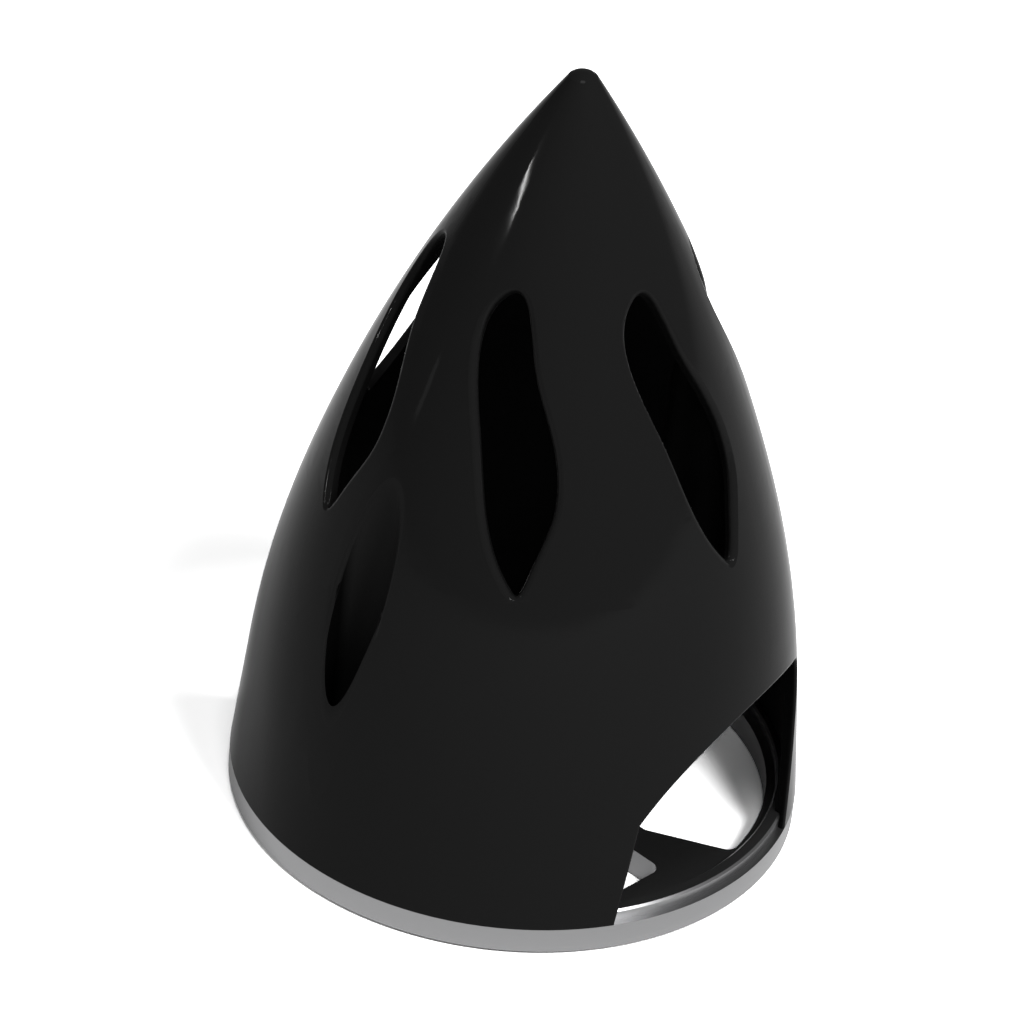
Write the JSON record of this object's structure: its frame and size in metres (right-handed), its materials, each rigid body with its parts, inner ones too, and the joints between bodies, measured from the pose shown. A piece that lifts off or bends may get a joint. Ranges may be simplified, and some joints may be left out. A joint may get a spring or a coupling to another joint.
{
  "type": "propeller spinner",
  "caption": "Ogive nose cone with swept cooling gills and raked blade cutouts, held to a round spoked backplate by cap screws in sunk channels.",
  "frame": {"origin": "centre of the backplate's rear face, on which the spinner stands", "axes": "+Z along the propeller shaft towards the nose; the two blade cutouts face each other, one 48 degrees from -Y towards +X and the other opposite it"},
  "size_m": [0.057, 0.057, 0.0817],
  "materials": {
    "cone": "polished black moulding",
    "backplate": "turned and milled, bare",
    "screw": "black oxide steel"
  },
  "bodies": {
    "root": {"spinner_cone": "cone", "backplate": "backplate", "cone_screw_1": "screw", "cone_screw_2": "screw"}
  },
  "joints": []
}
